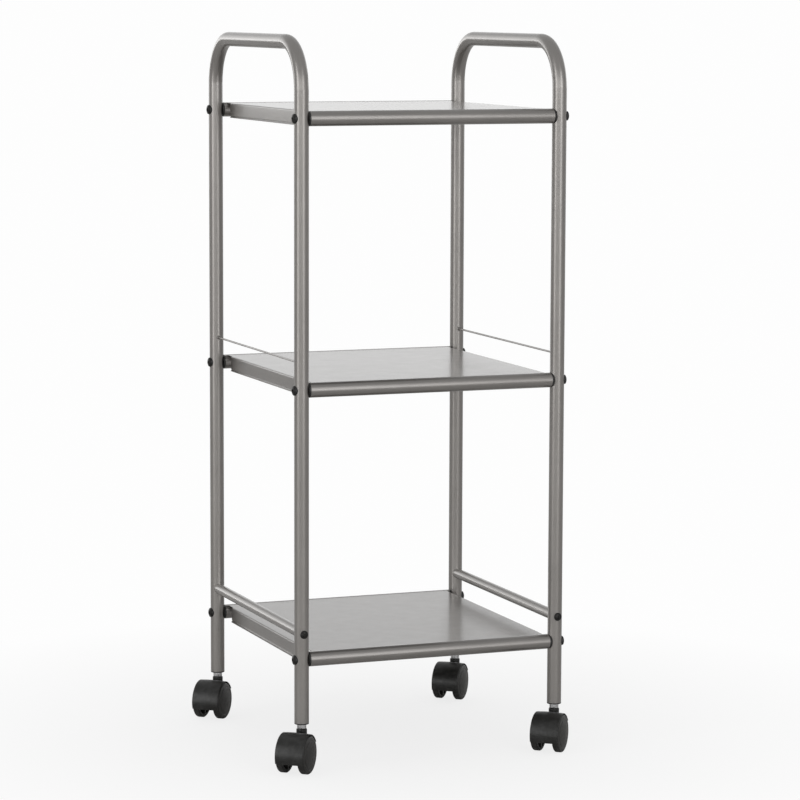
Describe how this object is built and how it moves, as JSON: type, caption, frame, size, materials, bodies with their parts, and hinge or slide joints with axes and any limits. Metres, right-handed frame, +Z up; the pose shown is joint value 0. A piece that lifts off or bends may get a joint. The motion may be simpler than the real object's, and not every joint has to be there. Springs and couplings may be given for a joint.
{
  "type": "rolling utility cart",
  "caption": "Rolling utility cart: bent-tube side frames with handles, flat sheet-steel shelves, side rails and guard wires, on swivelling twin-wheel casters.",
  "frame": {"origin": "centre of the bottom shelf's deck, on its upper face; the floor is 155 mm below it", "axes": "+Z up; +X to the cart's right and -Y to its front, where the screw heads of the lower rails face"},
  "size_m": [0.4211, 0.4154, 0.9505],
  "materials": {
    "frame_paint": "metallic warm grey, satin",
    "shelf_paint": "metallic warm grey, satin",
    "plug_plastic": "matte black",
    "hood_plastic": "fine-textured black",
    "wheel_plastic": "satin black nylon",
    "black_screws": "black zinc, satin",
    "stem_steel": "bright plated",
    "axle_steel": "drawn steel",
    "spring_steel": "spring steel",
    "insert_brass": "turned brass"
  },
  "bodies": {
    "frame": {"side_frame_left": "frame_paint", "side_frame_right": "frame_paint", "lower_rail_left": "frame_paint", "lower_rail_right": "frame_paint", "guard_wire_left": "frame_paint", "guard_wire_right": "frame_paint", "shelf_bottom": "shelf_paint", "shelf_middle": "shelf_paint", "shelf_top": "shelf_paint", "edge_plugs_bottom": "plug_plastic", "edge_plugs_middle": "plug_plastic", "edge_plugs_top": "plug_plastic", "plug_inserts_bottom": "insert_brass", "plug_inserts_middle": "insert_brass", "plug_inserts_top": "insert_brass", "rail_end_nuts": "insert_brass", "saddle_washers_bottom": "plug_plastic", "saddle_washers_middle": "plug_plastic", "saddle_washers_top": "plug_plastic", "shelf_bolts_bottom": "black_screws", "shelf_bolts_middle": "black_screws", "shelf_bolts_top": "black_screws", "rail_screws": "black_screws", "leg_socket_front_left": "plug_plastic", "leg_socket_front_right": "plug_plastic", "leg_socket_rear_left": "plug_plastic", "leg_socket_rear_right": "plug_plastic", "caster_stem_front_left": "stem_steel", "caster_stem_front_right": "stem_steel", "caster_stem_rear_left": "stem_steel", "caster_stem_rear_right": "stem_steel", "stem_grip_rings": "spring_steel", "stem_clips": "spring_steel"},
    "caster_front_left": {"caster_hood_front_left": "hood_plastic", "caster_axle_front_left": "axle_steel"},
    "wheel_front_left_a": {"wheel_front_left_a": "wheel_plastic"},
    "wheel_front_left_b": {"wheel_front_left_b": "wheel_plastic"},
    "caster_front_right": {"caster_hood_front_right": "hood_plastic", "caster_axle_front_right": "axle_steel"},
    "wheel_front_right_a": {"wheel_front_right_a": "wheel_plastic"},
    "wheel_front_right_b": {"wheel_front_right_b": "wheel_plastic"},
    "caster_rear_left": {"caster_hood_rear_left": "hood_plastic", "caster_axle_rear_left": "axle_steel"},
    "wheel_rear_left_a": {"wheel_rear_left_a": "wheel_plastic"},
    "wheel_rear_left_b": {"wheel_rear_left_b": "wheel_plastic"},
    "caster_rear_right": {"caster_hood_rear_right": "hood_plastic", "caster_axle_rear_right": "axle_steel"},
    "wheel_rear_right_a": {"wheel_rear_right_a": "wheel_plastic"},
    "wheel_rear_right_b": {"wheel_rear_right_b": "wheel_plastic"}
  },
  "joints": [
    {"name": "swivel_front_left", "type": "hinge", "parent": "frame", "child": "caster_front_left", "pos_m": [-0.179, -0.1755, -0.1], "axis": [0, 0, 1], "continuous": true},
    {"name": "roll_front_left_a", "type": "hinge", "parent": "caster_front_left", "child": "wheel_front_left_a", "pos_m": [-0.19212, -0.19059, -0.13], "axis": [-0.7547, 0.6561, 0], "continuous": true},
    {"name": "roll_front_left_b", "type": "hinge", "parent": "caster_front_left", "child": "wheel_front_left_b", "pos_m": [-0.19212, -0.19059, -0.13], "axis": [-0.7547, 0.6561, 0], "continuous": true},
    {"name": "swivel_front_right", "type": "hinge", "parent": "frame", "child": "caster_front_right", "pos_m": [0.179, -0.1755, -0.1], "axis": [0, 0, 1], "continuous": true},
    {"name": "roll_front_right_a", "type": "hinge", "parent": "caster_front_right", "child": "wheel_front_right_a", "pos_m": [0.16588, -0.19059, -0.13], "axis": [-0.7547, 0.6561, 0], "continuous": true},
    {"name": "roll_front_right_b", "type": "hinge", "parent": "caster_front_right", "child": "wheel_front_right_b", "pos_m": [0.16588, -0.19059, -0.13], "axis": [-0.7547, 0.6561, 0], "continuous": true},
    {"name": "swivel_rear_left", "type": "hinge", "parent": "frame", "child": "caster_rear_left", "pos_m": [-0.179, 0.1755, -0.1], "axis": [0, 0, 1], "continuous": true},
    {"name": "roll_rear_left_a", "type": "hinge", "parent": "caster_rear_left", "child": "wheel_rear_left_a", "pos_m": [-0.19212, 0.16041, -0.13], "axis": [-0.7547, 0.6561, 0], "continuous": true},
    {"name": "roll_rear_left_b", "type": "hinge", "parent": "caster_rear_left", "child": "wheel_rear_left_b", "pos_m": [-0.19212, 0.16041, -0.13], "axis": [-0.7547, 0.6561, 0], "continuous": true},
    {"name": "swivel_rear_right", "type": "hinge", "parent": "frame", "child": "caster_rear_right", "pos_m": [0.179, 0.1755, -0.1], "axis": [0, 0, 1], "continuous": true},
    {"name": "roll_rear_right_a", "type": "hinge", "parent": "caster_rear_right", "child": "wheel_rear_right_a", "pos_m": [0.16588, 0.16041, -0.13], "axis": [-0.7547, 0.6561, 0], "continuous": true},
    {"name": "roll_rear_right_b", "type": "hinge", "parent": "caster_rear_right", "child": "wheel_rear_right_b", "pos_m": [0.16588, 0.16041, -0.13], "axis": [-0.7547, 0.6561, 0], "continuous": true}
  ]
}
